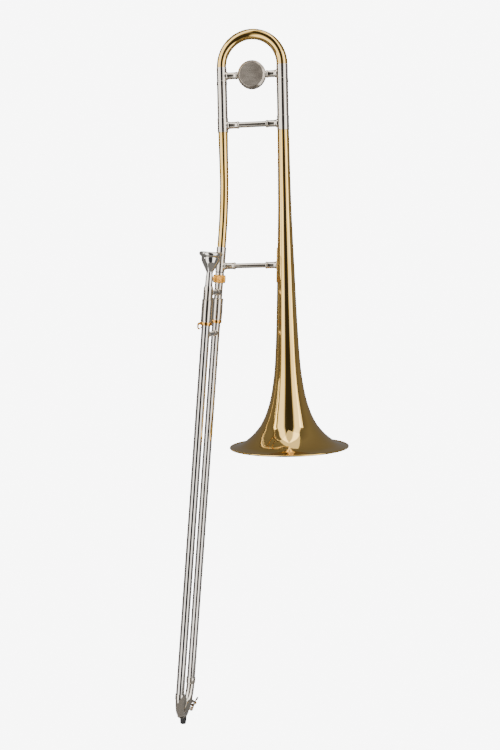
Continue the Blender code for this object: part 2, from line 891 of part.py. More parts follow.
def make_lock_nut(inner, gold):
    """The knurled, barrel-shaped nut that draws the slide into the receiver."""
    top = receiver_top + receiver_length + nut_drop
    place = inner.matrix_world @ Matrix.Translation((0, 0, -top))
    body = empty_at("lock_nut_turn", place.to_translation(), place.to_3x3(), parent=inner)
    bore = thread_radius + fit_gap
    profile = [
        (nut_end_radius, 0.0),
        (nut_radius, -0.25 * nut_length),
        (nut_radius, -0.75 * nut_length),
        (nut_end_radius, -nut_length),
        (bore, -nut_length),
        (bore, 0.0),
    ]
    steps = nut_knurls * 2
    work = bmesh.new()
    rows = []
    for radius, height in profile:
        row = []
        for i in range(steps):
            angle = 2 * math.pi * i / steps
            cut = knurl_depth if i % 2 and radius > nut_end_radius else 0.0
            reach = radius - cut
            row.append((reach * math.cos(angle), reach * math.sin(angle), height))
        rows.append(row)
    loft(work, rows, closed=True)
    add_object("lock_nut", work, gold, body)


def make_mouthpiece(inner, silver):
    place = inner.matrix_world @ Matrix.Translation((0, -slide_spacing, -mouth_receiver_top))
    body = empty_at("mouthpiece_pull", place.to_translation(), place.to_3x3(), parent=inner)
    top = mouth_receiver_top - mouthpiece_top
    cup = rim_radius - rim_width
    tip = shank_radius - shank_taper
    outline = [
        (cup, top - 0.0022),
        (cup + rim_width * 0.30, top - 0.0004),
        (cup + rim_width * 0.58, top),
        (cup + rim_width * 0.86, top - 0.0010),
        (rim_radius, top - 0.0028),
        (rim_radius - 0.0004, top - 0.0050),
        (rim_radius - 0.0016, top - 0.0068),
        (rim_radius * 0.80, top - 0.0084),
        (rim_radius * 0.785, top - 0.0120),
        (rim_radius * 0.73, top - 0.0165),
        (rim_radius * 0.61, top - 0.0210),
        (rim_radius * 0.48, top - 0.0255),
        (rim_radius * 0.36, top - 0.0300),
        (stem_radius, top - 0.0335),
        (stem_radius + 0.0004, top - 0.0420),
        (shank_radius, 0.0),
        (tip, -shank_depth),
        (throat_radius + 0.0014, -shank_depth),
        (throat_radius, top - cup_depth - 0.0100),
        (throat_radius, top - cup_depth - 0.0030),
        (throat_radius * 1.7, top - cup_depth + 0.0020),
        (cup * 0.74, top - cup_depth * 0.62),
        (cup * 0.93, top - cup_depth * 0.36),
    ]
    turned("mouthpiece", outline, silver, body)


def make_slide_lock(inner, gold):
    """A ring on the upper cork barrel's lip, with a hook whose tip turns under a pin on the outer slide."""
    top = barrel_top + barrel_length + fit_gap
    place = inner.matrix_world @ Matrix.Translation((0, -slide_spacing, 0))
    body = empty_at("slide_lock_turn", place.to_translation(), place.to_3x3(), parent=inner)
    foot = top + lock_ring_length
    outline = [
        (lock_ring_radius - 0.0004, -top),
        (lock_ring_radius, -top - 0.0010),
        (lock_ring_radius, -foot + 0.0010),
        (lock_ring_radius - 0.0004, -foot),
        (barrel_lip_radius + fit_gap, -foot),
        (barrel_lip_radius + fit_gap, -top),
    ]
    ring = turned("slide_lock", outline, gold, body)
    tip_top = catch_down + catch_pin_radius + fit_gap
    tip_side = stocking_radius + outer_tube_wall + catch_foot_height + 4 * fit_gap
    tip_foot = tip_top + 0.0020
    inside = hook_reach - hook_thickness
    base = lock_ring_radius - 0.0006
    shape = [
        (-base, -top - 0.0004),
        (-inside, -top - 0.0010),
        (-hook_reach, -top - 0.0036),
        (-hook_reach, -tip_foot + 0.0030),
        (-inside - 0.0006, -tip_foot),
        (-tip_side, -tip_foot),
        (-tip_side, -tip_top),
        (-inside + 0.0004, -tip_top + 0.0004),
        (-inside, -tip_top + 0.0016),
        (-inside, -foot - 0.0006),
        (-inside + 0.0012, -foot + 0.0002),
        (-base, -foot + 0.0006),
    ]
    work = bmesh.new()
    prism(work, shape, hook_half_width)
    boolean(ring, add_object("hook_shape", work, None, body), "UNION")


def bow_point(angle):
    """A point on the bow's centre line in the slide's axes; angle 0 is at the lower tube."""
    radius = slide_spacing / 2
    return Vector(
        (
            0.0,
            -radius + radius * math.cos(angle),
            -bow_centre_down - radius * math.sin(angle),
        )
    )


def bow_path(outer, inner, steps, straight):
    """The bow from the lower tube round to the upper one, with a straight end in each ferrule."""
    down = np.array([0.0, 0.0, -1.0])
    foot = lower_ferrule_down + tube_joint_depth + fit_gap
    path = []
    if straight:
        path.append((np.array([0.0, 0.0, -foot]), down, outer, inner))
    for angle in np.linspace(0, math.pi, steps):
        direction = np.array([0.0, -math.sin(angle), -math.cos(angle)])
        path.append((np.array(bow_point(angle)), direction, outer, inner))
    if straight:
        path.append((np.array([0.0, -slide_spacing, -foot]), -down, outer, inner))
    return path


def make_outer_slide(inner, nickel, silver, dark):
    """Outer tubes, their brace, the ferrules, the bow and what is fixed to it."""
    place = inner.matrix_world
    body = empty_at("outer_slide", place.to_translation(), place.to_3x3(), parent=inner)
    tube_bore = stocking_radius + fit_gap
    tube_out = tube_bore + outer_tube_wall
    top = bumper_top + bumper_length + fit_gap
    joint = lower_ferrule_down + tube_joint_depth
    ferrule_foot = lower_ferrule_down + lower_ferrule_length
    for side, y in (("upper", -slide_spacing), ("lower", 0.0)):
        local = Matrix.Translation((0, y, 0))
        outline = pipe_outline(tube_out, tube_bore, -top, -joint)
        turned("outer_tube_" + side, outline, silver, body, local)
        bore = tube_out + fit_gap
        outline = [
            (lower_ferrule_radius - 0.0003, -lower_ferrule_down),
            (lower_ferrule_radius, -lower_ferrule_down - 0.0008),
            (lower_ferrule_radius, -ferrule_foot + 0.0008),
            (lower_ferrule_radius - 0.0003, -ferrule_foot),
            (bore, -ferrule_foot),
            (bore, -lower_ferrule_down),
        ]
        turned("slide_ferrule_" + side, outline, nickel, body, local)
    make_slide_brace(
        "outer_brace",
        outer_brace_down,
        tube_out,
        tube_out,
        outer_socket_radius,
        body,
        nickel,
    )
    side = (1, 0, 0)
    path = bow_path(slide_bow_radius, slide_bow_radius - slide_bow_wall, bow_steps, True)
    bow = bent_pipe("slide_bow", path, side, nickel, body)
    key = key_matrix()
    hole = post_cutter("water_hole", nipple_bore, body, key @ Matrix.Translation((0, 0, 0.006)), 0.012)
    boolean(bow, hole)
    make_bow_guard(body, nickel)
    make_rubber_tip(body, dark)
    make_lock_catch(body, tube_out, nickel)
    return body, key


def make_bow_guard(body, nickel):
    """A thin plate that wraps the outside of the bow's bottom."""
    inner = slide_bow_radius + fit_gap
    outer = inner + guard_thickness
    turns = np.linspace(-guard_half_angle, guard_half_angle, 7)
    rows = []
    for angle in np.linspace(guard_start, guard_end, 9):
        centre = np.array(bow_point(angle))
        out = np.array([0.0, math.cos(angle), -math.sin(angle)])
        side = np.array([1.0, 0.0, 0.0])
        spread = np.cos(turns)[:, None] * out + np.sin(turns)[:, None] * side
        rows.append(np.vstack([centre + outer * spread, (centre + inner * spread)[::-1]]))
    work = bmesh.new()
    loft(work, rows, closed=False)
    add_object("bow_guard", work, nickel, body)


def make_rubber_tip(body, dark):
    """The rubber foot under the bow, shaped to the guard plate."""
    middle = Matrix.Translation((0, -slide_spacing / 2, 0))
    start = bow_centre_down + slide_spacing / 2
    outline = [
        (0, -start),
        (tip_radius, -start),
        (tip_radius, -tip_end_down + 0.0070),
        (tip_end_radius + tip_chamfer * 0.6, -tip_end_down + tip_chamfer),
        (tip_end_radius, -tip_end_down),
        (0, -tip_end_down),
    ]
    tip = turned("rubber_tip", outline, dark, body, middle, steps=20)
    reach = slide_bow_radius + guard_thickness + 2 * fit_gap
    path = bow_path(reach, 0.0, cutter_steps, False)
    cutter = bent_pipe("guard_space", path, (1, 0, 0), None, body, steps=2 * bend_steps, solid=True)
    boolean(tip, cutter)


def make_lock_catch(body, tube_out, nickel):
    """The pin that the slide lock's hook turns under."""
    outline = [
        (0, 0),
        (catch_foot_radius, 0),
        (catch_foot_radius, tube_out + fit_gap + catch_foot_height),
        (catch_pin_radius, tube_out + fit_gap + catch_foot_height),
        (catch_pin_radius, catch_reach),
        (0, catch_reach),
    ]
    place = Matrix.Translation((0, -slide_spacing, -catch_down))
    away = Matrix.Rotation(math.pi - lock_turn, 4, "Z")
    local = place @ away @ Matrix.Rotation(math.pi / 2, 4, "Y")
    pin = turned("lock_catch", outline, nickel, body, local, steps=12)
    boolean(pin, post_cutter("catch_tube_space", tube_out + fit_gap, body, place, 0.012))


def key_matrix():
    """The water key's axes at its nipple: +Z out of the bow, +X along it towards the lower tube."""
    centre = bow_point(key_bow_angle)
    outward = Vector((0, math.cos(key_bow_angle), -math.sin(key_bow_angle)))
    back = Vector((0, math.sin(key_bow_angle), math.cos(key_bow_angle)))
    up = (outward * math.cos(key_tilt) + Vector((1, 0, 0)) * math.sin(key_tilt)).normalized()
    across = up.cross(back)
    turn = Matrix((back, across, up)).transposed()
    return Matrix.Translation(centre) @ turn.to_4x4()


def make_key_seat(body, key, nickel, gold):
    """The nipple round the water hole, the saddle with its two ears, and the hinge screw."""
    surface = slide_bow_radius
    top = surface + nipple_height
    outline = [
        (nipple_bore, top),
        (nipple_bore, surface - 0.0040),
        (nipple_radius, surface - 0.0040),
        (nipple_radius, top),
    ]
    nipple = turned("water_nipple", outline, nickel, body, key, steps=socket_steps)
    reach = slide_bow_radius + fit_gap
    path = bow_path(reach, 0.0, cutter_steps, False)
    cutter = bent_pipe("bow_space", path, (1, 0, 0), None, body, steps=2 * bend_steps, solid=True)
    boolean(nipple, cutter)
    hinge = hinge_height()
    ear_out = ear_inside + ear_thickness
    low = surface - 0.0050
    floor = surface + 0.0010
    work = bmesh.new()
    shape = [
        (lever_reach - ear_half_length, low),
        (lever_reach + ear_half_length, low),
        (lever_reach + ear_half_length, hinge),
        (lever_reach + ear_half_length * 0.6, hinge + ear_half_length * 0.8),
        (lever_reach - ear_half_length * 0.6, hinge + ear_half_length * 0.8),
        (lever_reach - ear_half_length, hinge),
    ]
    prism(work, shape, ear_out)
    saddle = add_object("water_key_saddle", work, nickel, body, key)
    work = bmesh.new()
    wide = ear_half_length * 2
    box_shape(
        work,
        (lever_reach - wide, -ear_inside, floor),
        (lever_reach + wide, ear_inside, hinge + wide),
    )
    boolean(saddle, add_object("saddle_slot", work, None, body, key))
    boolean(saddle, cutter)
    axis = key @ along_y((lever_reach, 0, hinge))
    hole = key_screw_radius + fit_gap
    boolean(saddle, post_cutter("screw_space", hole, body, axis, 0.020))
    half = ear_out + 0.0003
    outline = [
        (0, half + 0.0010),
        (key_screw_radius * 1.9, half + 0.0006),
        (key_screw_radius * 1.9, half),
        (key_screw_radius, half),
        (key_screw_radius, -half),
        (0, -half),
    ]
    turned("water_key_screw", outline, gold, body, axis, steps=12)


def hinge_height():
    """Height of the key's hinge over the bow's centre line."""
    seat = slide_bow_radius + nipple_height + fit_gap + cork_thickness + fit_gap + cup_thickness
    return seat + lever_thickness / 2


def make_water_key(outer, key, nickel, cork, steel):
    """The lever with its cork, and the spring coiled beside its knuckle."""
    hinge = hinge_height()
    world = outer.matrix_world @ key @ Matrix.Translation((lever_reach, 0, hinge))
    body = empty_at("water_key", world.to_translation(), world.to_3x3(), parent=outer)
    half = lever_thickness / 2
    shape = [
        (-lever_reach - 0.0020, -half - 0.0004),
        (-knuckle_radius, -half),
        (knuckle_radius, -half),
        (finger_reach - 0.0030, finger_rise - lever_thickness),
        (finger_reach, finger_rise - lever_thickness * 0.5),
        (finger_reach - 0.0030, finger_rise),
        (knuckle_radius, half),
        (-lever_reach - 0.0020, half),
    ]
    work = bmesh.new()
    prism(work, shape, lever_half_width)
    lever = add_object("water_key_lever", work, nickel, body)
    across = along_y((0, 0, 0))
    knuckle = post_cutter("knuckle_shape", knuckle_radius, body, across, 2 * (lever_half_width + knuckle_stand))
    boolean(lever, knuckle, "UNION")
    cup_top = -half - 0.0001 + 0.0003
    outline = [
        (0, cup_top),
        (cup_radius * 0.8, cup_top),
        (cup_radius, cup_top - cup_thickness * 0.5),
        (cup_radius, cup_top - cup_thickness),
        (0, cup_top - cup_thickness),
    ]
    cup = turned("cup_shape", outline, None, body, Matrix.Translation((-lever_reach, 0, 0)), steps=16)
    boolean(lever, cup, "UNION")
    outline = [
        (0, finger_rise + 0.0003),
        (finger_radius * 0.8, finger_rise + 0.0003),
        (finger_radius, finger_rise - 0.0003),
        (finger_radius * 0.8, finger_rise - 0.0010),
        (0, finger_rise - 0.0010),
    ]
    place = Matrix.Translation((finger_reach - 0.0010, 0, 0))
    pad = turned("finger_shape", outline, None, body, place, steps=16)
    boolean(lever, pad, "UNION")
    hole = key_screw_radius + fit_gap
    boolean(lever, post_cutter("knuckle_bore", hole, body, across, 0.010))
    cork_top = cup_top - cup_thickness - fit_gap
    cork_foot = slide_bow_radius + nipple_height + fit_gap - hinge
    outline = [(0, cork_top), (cork_radius, cork_top), (cork_radius, cork_foot), (0, cork_foot)]
    turned("water_key_cork", outline, cork, body, Matrix.Translation((-lever_reach, 0, 0)), steps=16)
    make_spring(body, steel)
    return body


def spring_points():
    """The coil beside the knuckle, with a short straight arm at each end."""
    count = int(spring_turns * 14)
    turn = np.linspace(0, 2 * math.pi * spring_turns, count)
    coil = np.stack(
        [
            spring_radius * np.sin(turn),
            spring_start + spring_pitch * turn / (2 * math.pi),
            -spring_radius * np.cos(turn),
        ],
        axis=1,
    )
    first = coil[0] + np.array([[-0.0030, 0, 0], [-0.0015, 0, 0]])
    last = coil[-1] + np.array([[-0.0015, 0, 0], [-0.0030, 0, 0]])
    return np.vstack([first, coil, last])


def least_gap(points, wire):
    """The least space between turns: the nearest two points over half a turn apart, less the wire."""
    apart = np.linalg.norm(points[:, None] - points[None], axis=2)
    steps = np.abs(np.subtract.outer(np.arange(len(points)), np.arange(len(points))))
    return float(apart[steps > 6].min() - wire)


def make_spring(body, steel):
    points = spring_points()
    print("water key spring, least gap between turns:", round(least_gap(points, spring_wire), 6))
    curve = bpy.data.curves.new("water_key_spring", "CURVE")
    curve.dimensions = "3D"
    curve.bevel_depth = spring_wire / 2
    curve.bevel_resolution = 1
    curve.use_fill_caps = True
    line = curve.splines.new("POLY")
    line.points.add(len(points) - 1)
    for point, place in zip(line.points, points):
        point.co = (*place, 1.0)
    curve.materials.append(steel)
    made = bpy.data.objects.new("water_key_spring", curve)
    bpy.context.scene.collection.objects.link(made)
    made.parent = body


def build():
    clear_scene()
    brass = finish_of("lacquered_brass", (0.80, 0.58, 0.20), 0.16, 1.0)
    nickel = finish_of("nickel_silver", (0.74, 0.70, 0.62), 0.18, 1.0)
    silver = finish_of("bright_nickel", (0.80, 0.78, 0.74), 0.12, 1.0)
    gold = finish_of("gilt_brass", (0.92, 0.68, 0.26), 0.22, 1.0)
    dark = finish_of("black_rubber", (0.02, 0.02, 0.02), 0.60, 0.0)
    cork = finish_of("cork", (0.55, 0.38, 0.22), 0.85, 0.0)
    steel = finish_of("spring_steel", (0.50, 0.50, 0.52), 0.30, 1.0)
    root, tube_top = make_bell_section(nickel, brass, dark)
    make_tuning_slide(root, tube_top, nickel, brass)
    inner = make_inner_slide(root, nickel, gold, dark)
    make_lock_nut(inner, gold)
    make_mouthpiece(inner, silver)
    make_slide_lock(inner, gold)
    outer, key = make_outer_slide(inner, nickel, silver, dark)
    make_key_seat(outer, key, nickel, gold)
    make_water_key(outer, key, nickel, cork, steel)


build()
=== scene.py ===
import json
import math

import bmesh
import bpy
import numpy as np
from mathutils import Matrix, Vector


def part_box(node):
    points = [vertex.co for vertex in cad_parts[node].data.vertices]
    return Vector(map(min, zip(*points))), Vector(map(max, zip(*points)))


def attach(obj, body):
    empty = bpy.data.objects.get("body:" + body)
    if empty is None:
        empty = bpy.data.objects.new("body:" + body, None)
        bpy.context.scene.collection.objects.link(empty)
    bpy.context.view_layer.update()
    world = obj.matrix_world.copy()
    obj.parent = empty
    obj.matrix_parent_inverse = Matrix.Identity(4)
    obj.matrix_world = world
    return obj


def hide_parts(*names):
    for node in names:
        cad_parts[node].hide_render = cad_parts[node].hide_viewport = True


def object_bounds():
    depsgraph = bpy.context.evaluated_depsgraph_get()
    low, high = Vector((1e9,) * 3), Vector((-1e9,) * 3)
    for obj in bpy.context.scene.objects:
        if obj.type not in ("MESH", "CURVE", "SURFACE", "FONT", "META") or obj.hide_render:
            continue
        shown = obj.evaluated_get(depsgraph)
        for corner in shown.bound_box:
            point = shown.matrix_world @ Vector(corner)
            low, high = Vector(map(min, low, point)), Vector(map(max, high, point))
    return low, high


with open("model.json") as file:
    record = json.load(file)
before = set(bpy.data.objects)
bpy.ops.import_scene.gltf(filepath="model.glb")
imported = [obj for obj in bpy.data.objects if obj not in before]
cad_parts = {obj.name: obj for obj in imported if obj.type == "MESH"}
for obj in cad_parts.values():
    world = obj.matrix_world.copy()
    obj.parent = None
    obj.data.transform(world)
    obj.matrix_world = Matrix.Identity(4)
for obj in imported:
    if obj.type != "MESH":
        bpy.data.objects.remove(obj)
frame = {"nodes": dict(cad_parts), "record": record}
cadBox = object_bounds()
bodyOf = {node: body for body, nodes in frame["record"]["behaviour"]["bodies"].items() for node in nodes}
slotOf = {part["node"]: part["material_slot"] for part in frame["record"]["subparts"]}

# The bell section stands upright over the middle of the bell's mouth. The hand slide leans away from
# the corner of the neckpipe's bend, with its second tube on the player's side.
layout = {
    "tubeSpacing": 0.102,
    "slideSpacing": 0.080,
    "lean": math.radians(5.6),
    "cornerHeight": 0.4144,
}
upright = Vector((0, 0, 1))
slideUp = Vector((math.sin(layout["lean"]), 0, math.cos(layout["lean"])))
corner = Vector((-layout["tubeSpacing"], 0, layout["cornerHeight"]))
bellAxis = (Vector((0, 0, 0)), upright)
neckAxis = (Vector((-layout["tubeSpacing"], 0, 0)), upright)
lowerAxis = (corner, slideUp)
upperAxis = (corner - Vector((0, layout["slideSpacing"], 0)), slideUp)


# finishes

metalDetail = {
    "coatRoughness": 0.04,
    "cloudDetail": 6,       # octaves of the slow cloud
    "lineDetail": 4,        # octaves of the polish lines
    "shadeEnds": 0.35,      # where the cloud leaves the darker tone
    "colourStarts": 0.62,   # where it reaches the lighter one
    "smoothest": 0.7,       # shares of the finish's roughness that the lines run between
    "dullest": 1.35,
    "lineDepth": 0.0001,
}
speckleDetail = {"grainDepth": 0.0002}


def plainMaterial(name):
    material = bpy.data.materials.new(name)
    material.use_nodes = True
    tree = material.node_tree
    return material, tree.nodes, tree.links, tree.nodes["Principled BSDF"]


def addTones(nodes, look, start=0.0, end=1.0):
    # shade up to the start, colour from the end on, and an even blend between
    ramp = nodes.new("ShaderNodeValToRGB")
    low, high = ramp.color_ramp.elements
    low.position = start
    low.color = (*look["shade"], 1)
    high.position = end
    high.color = (*look["colour"], 1)
    return ramp


def addBump(nodes, links, height, strength, depth, shader):
    bump = nodes.new("ShaderNodeBump")
    bump.inputs["Strength"].default_value = strength
    bump.inputs["Distance"].default_value = depth
    links.new(height, bump.inputs["Height"])
    links.new(bump.outputs["Normal"], shader.inputs["Normal"])


def metalFinish(name, look):
    # two tones mixed by a slow cloud, and polish lines, finer along Z, in the roughness and the bump
    material, nodes, links, shader = plainMaterial(name)
    shader.inputs["Metallic"].default_value = 1.0
    shader.inputs["Coat Weight"].default_value = look["coat"]
    shader.inputs["Coat Roughness"].default_value = metalDetail["coatRoughness"]
    place = nodes.new("ShaderNodeTexCoord")
    cloud = nodes.new("ShaderNodeTexNoise")
    cloud.inputs["Scale"].default_value = look["cloud"]
    cloud.inputs["Detail"].default_value = metalDetail["cloudDetail"]
    links.new(place.outputs["Object"], cloud.inputs["Vector"])
    tones = addTones(nodes, look, metalDetail["shadeEnds"], metalDetail["colourStarts"])
    links.new(cloud.outputs["Fac"], tones.inputs["Fac"])
    links.new(tones.outputs["Color"], shader.inputs["Base Color"])
    squeeze = nodes.new("ShaderNodeMapping")
    squeeze.inputs["Scale"].default_value = (1, 1, look["lines"])
    links.new(place.outputs["Object"], squeeze.inputs["Vector"])
    polish = nodes.new("ShaderNodeTexNoise")
    polish.inputs["Scale"].default_value = look["grain"]
    polish.inputs["Detail"].default_value = metalDetail["lineDetail"]
    links.new(squeeze.outputs["Vector"], polish.inputs["Vector"])
    dull = nodes.new("ShaderNodeMapRange")
    dull.inputs["To Min"].default_value = look["roughness"] * metalDetail["smoothest"]
    dull.inputs["To Max"].default_value = look["roughness"] * metalDetail["dullest"]
    links.new(polish.outputs["Fac"], dull.inputs["Value"])
    links.new(dull.outputs["Result"], shader.inputs["Roughness"])
    addBump(nodes, links, polish.outputs["Fac"], look["bump"], metalDetail["lineDepth"], shader)
    return material


def speckledFinish(name, look):
    # cells whose middles take the shade and whose rims take the colour, with the same cells in the bump
    material, nodes, links, shader = plainMaterial(name)
    shader.inputs["Roughness"].default_value = look["roughness"]
    place = nodes.new("ShaderNodeTexCoord")
    cells = nodes.new("ShaderNodeTexVoronoi")
    cells.inputs["Scale"].default_value = look["cells"]
    links.new(place.outputs["Object"], cells.inputs["Vector"])
    tones = addTones(nodes, look)
    links.new(cells.outputs["Distance"], tones.inputs["Fac"])
    links.new(tones.outputs["Color"], shader.inputs["Base Color"])
    addBump(nodes, links, cells.outputs["Distance"], look["bump"], speckleDetail["grainDepth"], shader)
    return material


# "cloud", "grain" and "cells" are patterns to the metre; "lines" is how much finer they run along Z
finishes = {
    "lacquered_brass": metalFinish("lacqueredBrass", {
        "colour": (0.80, 0.52, 0.15), "shade": (0.70, 0.43, 0.11), "cloud": 9, "roughness": 0.055,
        "grain": 60, "lines": 14, "bump": 0.006, "coat": 0.3,
    }),
    "nickel_silver": metalFinish("nickelSilver", {
        "colour": (0.70, 0.64, 0.55), "shade": (0.61, 0.54, 0.45), "cloud": 9, "roughness": 0.075,
        "grain": 80, "lines": 18, "bump": 0.010, "coat": 0.0,
    }),
    "bright_nickel": metalFinish("brightNickel", {
        "colour": (0.72, 0.68, 0.62), "shade": (0.62, 0.58, 0.52), "cloud": 9, "roughness": 0.060,
        "grain": 70, "lines": 10, "bump": 0.008, "coat": 0.0,
    }),
    "gilt_brass": metalFinish("giltBrass", {
        "colour": (0.80, 0.39, 0.06), "shade": (0.66, 0.30, 0.04), "cloud": 9, "roughness": 0.14,
        "grain": 90, "lines": 8, "bump": 0.02, "coat": 0.2,
    }),
    "spring_steel": metalFinish("springSteel", {
        "colour": (0.52, 0.52, 0.54), "shade": (0.40, 0.40, 0.42), "cloud": 9, "roughness": 0.28,
        "grain": 200, "lines": 1, "bump": 0.04, "coat": 0.0,
    }),
    "black_rubber": speckledFinish("blackRubber", {
        "colour": (0.030, 0.030, 0.030), "shade": (0.012, 0.012, 0.012), "roughness": 0.6,
        "cells": 900, "bump": 0.25,
    }),
    "cork": speckledFinish("naturalCork", {
        "colour": (0.60, 0.42, 0.25), "shade": (0.30, 0.18, 0.09), "roughness": 0.85,
        "cells": 1400, "bump": 0.5,
    }),
}
print("finishes made:", len(finishes))


# ways of making a piece

edges = {
    "sharp": 32,            # degrees past which an edge of a worked-out surface shows
    "nutSharp": 60,         # the knurl's own grooves stay smooth
    "fittingSharp": 40,
    "segments": 2,
    "merge": 1e-7,
    "fittingMerge": 1e-6,
    "flat": 0.5,            # degrees within which a fitting's triangles count as one face
}
plainTurning = {"steps": 72, "soft": 24, "parts": 4, "bevel": 0.0}


def finishPiece(node, mesh, bevel, sharp):
    # smooth shading and eased edges, with the node's own body and material slot
    mesh.shade_smooth()
    mesh.set_sharp_from_angle(angle=math.radians(sharp))
    piece = bpy.data.objects.new(node + "_fine", mesh)
    bpy.context.scene.collection.objects.link(piece)
    if bevel:
        ease = piece.modifiers.new("easedEdges", "BEVEL")
        ease.width = bevel
        ease.segments = edges["segments"]
        ease.limit_method = "ANGLE"
        ease.angle_limit = math.radians(sharp)
        ease.harden_normals = True
    mesh.materials.append(finishes[slotOf[node]])
    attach(piece, bodyOf[node])
    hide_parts(node)
    return piece


def gridPiece(node, points, bevel=0.0, sharp=edges["sharp"]):
    # rows of points that close on themselves both ways, joined by four-sided faces
    rows, columns = points.shape[:2]
    i, j = np.meshgrid(np.arange(rows), np.arange(columns), indexing="ij")
    nextRow = (i + 1) % rows * columns
    nextColumn = (j + 1) % columns
    row = i * columns
    faces = np.stack([row + j, row + nextColumn, nextRow + nextColumn, nextRow + j], -1).reshape(-1, 4)
    mesh = bpy.data.meshes.new(node + "_fine")
    mesh.from_pydata(points.reshape(-1, 3).tolist(), [], faces.tolist())
    work = bmesh.new()
    work.from_mesh(mesh)
    bmesh.ops.remove_doubles(work, verts=work.verts, dist=edges["merge"])
    bmesh.ops.recalc_face_normals(work, faces=work.faces)
    work.to_mesh(mesh)
    work.free()
    return finishPiece(node, mesh, bevel, sharp)


def easedOutline(outline, soft, parts):
    # A closed outline. Where it turns by less than the soft angle it follows cubic curves, and the
    # slope at such a point is that of the chord between its two neighbours. Runs between two hard
    # points stay straight.
    ahead = np.roll(outline, -1, axis=0) - outline
    reach = np.linalg.norm(ahead, axis=1)[:, None]
    heading = ahead / reach
    before = np.roll(heading, 1, axis=0)
    turn = np.degrees(np.arccos(np.clip((heading * before).sum(1), -1, 1)))
    slope = ahead + np.roll(ahead, 1, axis=0)
    slope /= np.linalg.norm(slope, axis=1)[:, None]
    isSoft = (turn < soft)[:, None]
    start = np.where(isSoft, slope, heading) * reach
    end = np.where(np.roll(isSoft, -1, axis=0), np.roll(slope, -1, axis=0), heading) * reach
    t = np.linspace(0, 1, parts, endpoint=False)[None, :, None]
    here = outline[:, None]
    there = np.roll(outline, -1, axis=0)[:, None]
    curve = (
        (2 * t**3 - 3 * t**2 + 1) * here + (t**3 - 2 * t**2 + t) * start[:, None]
        + (3 * t**2 - 2 * t**3) * there + (t**3 - t**2) * end[:, None]
    )
    straight = ~(isSoft | np.roll(isSoft, -1, axis=0))[:, 0]
    keep = np.ones(curve.shape[:2], bool)
    keep[straight, 1:] = False
    return curve[keep]


def turnedPiece(node, outline, axis, turning=plainTurning):
    # point (i, angle) = origin + radius i * (cos angle * side + sin angle * other) + height i * direction
    outline = easedOutline(np.array(outline, float), turning["soft"], turning["parts"])
    origin, direction = (np.array(vector) for vector in axis)
    side = np.cross(direction, (0.0, 1.0, 0.0))
    if not side.any():
        side = np.cross(direction, (0.0, 0.0, 1.0))
    side /= np.linalg.norm(side)
    other = np.cross(direction, side)
    angle = np.linspace(0, 2 * np.pi, turning["steps"], endpoint=False)[:, None]
    ring = np.cos(angle) * side + np.sin(angle) * other
    points = origin + outline[:, 0, None, None] * ring + outline[:, 1, None, None] * direction
    return gridPiece(node, points, turning["bevel"])


def sweptPiece(node, centres, headings, side, outer, pipe):
    # point (i, angle) = centre i + radius i * (cos angle * side + sin angle * the normal of side and
    # heading i), down the outside from start to end and back along the bore
    side = np.array(side, float)
    normal = np.cross(side, headings)
    angle = np.linspace(0, 2 * np.pi, pipe["steps"], endpoint=False)[None, :, None]
    ring = np.cos(angle) * side + np.sin(angle) * normal[:, None]
    outside = centres[:, None] + outer[:, None, None] * ring
    inside = centres[:, None] + (outer - pipe["wall"])[:, None, None] * ring
    return gridPiece(node, np.concatenate([outside, inside[::-1]]))


# a turned node's own outline

walk = {"alike": 3e-6, "onAxis": 1e-5}    # metres within which two values, or a point and the axis, are one


def groupsOf(values):
    # one label for all values that follow each other closely
    order = np.argsort(values)
    apart = np.diff(values[order]) > walk["alike"]
    labels = np.empty(len(values), int)
    labels[order] = np.concatenate([[0], np.cumsum(apart)])
    return labels


def outlineOf(node, axis):
    # The closed outline (radius, height) of a node turned about an axis. Its points are the kinds of
    # vertex that differ in radius or height, walked along the mesh's edges from each to its nearest
    # neighbour. An outline with two loose ends is closed along the axis.
    origin, direction = (np.array(vector) for vector in axis)
    mesh = frame["nodes"][node].data
    points = np.empty(len(mesh.vertices) * 3)
    mesh.vertices.foreach_get("co", points)
    points = points.reshape(-1, 3) - origin
    height = points @ direction
    radius = np.linalg.norm(points - height[:, None] * direction, axis=1)
    kind = groupsOf(height) * len(points) + groupsOf(radius)
    kinds, first, index = np.unique(kind, return_index=True, return_inverse=True)
    spots = np.stack([radius[first], height[first]], axis=1)
    ends = np.empty(len(mesh.edges) * 2, int)
    mesh.edges.foreach_get("vertices", ends)
    pairs = np.sort(index[ends.reshape(-1, 2)], axis=1)
    pairs = np.unique(pairs[pairs[:, 0] != pairs[:, 1]], axis=0)
    count = np.bincount(pairs.ravel(), minlength=len(kinds))
    here = int(np.argmin(count))
    path = [here]
    while here is not None:
        near = [b if a == here else a for a, b in pairs if here in (a, b)]
        near = [spot for spot in near if spot not in path]
        here = min(near, key=lambda spot: np.linalg.norm(spots[spot] - spots[path[-1]]), default=None)
        if here is not None:
            path.append(here)
    outline = spots[path]
    if count.min() < 2:
        if outline[0, 0] > walk["onAxis"]:
            outline = np.vstack([[0.0, outline[0, 1]], outline])
        if outline[-1, 0] > walk["onAxis"]:
            outline = np.vstack([outline, [0.0, outline[-1, 1]]])
    return outline


# tubes, ferrules, barrels and rings

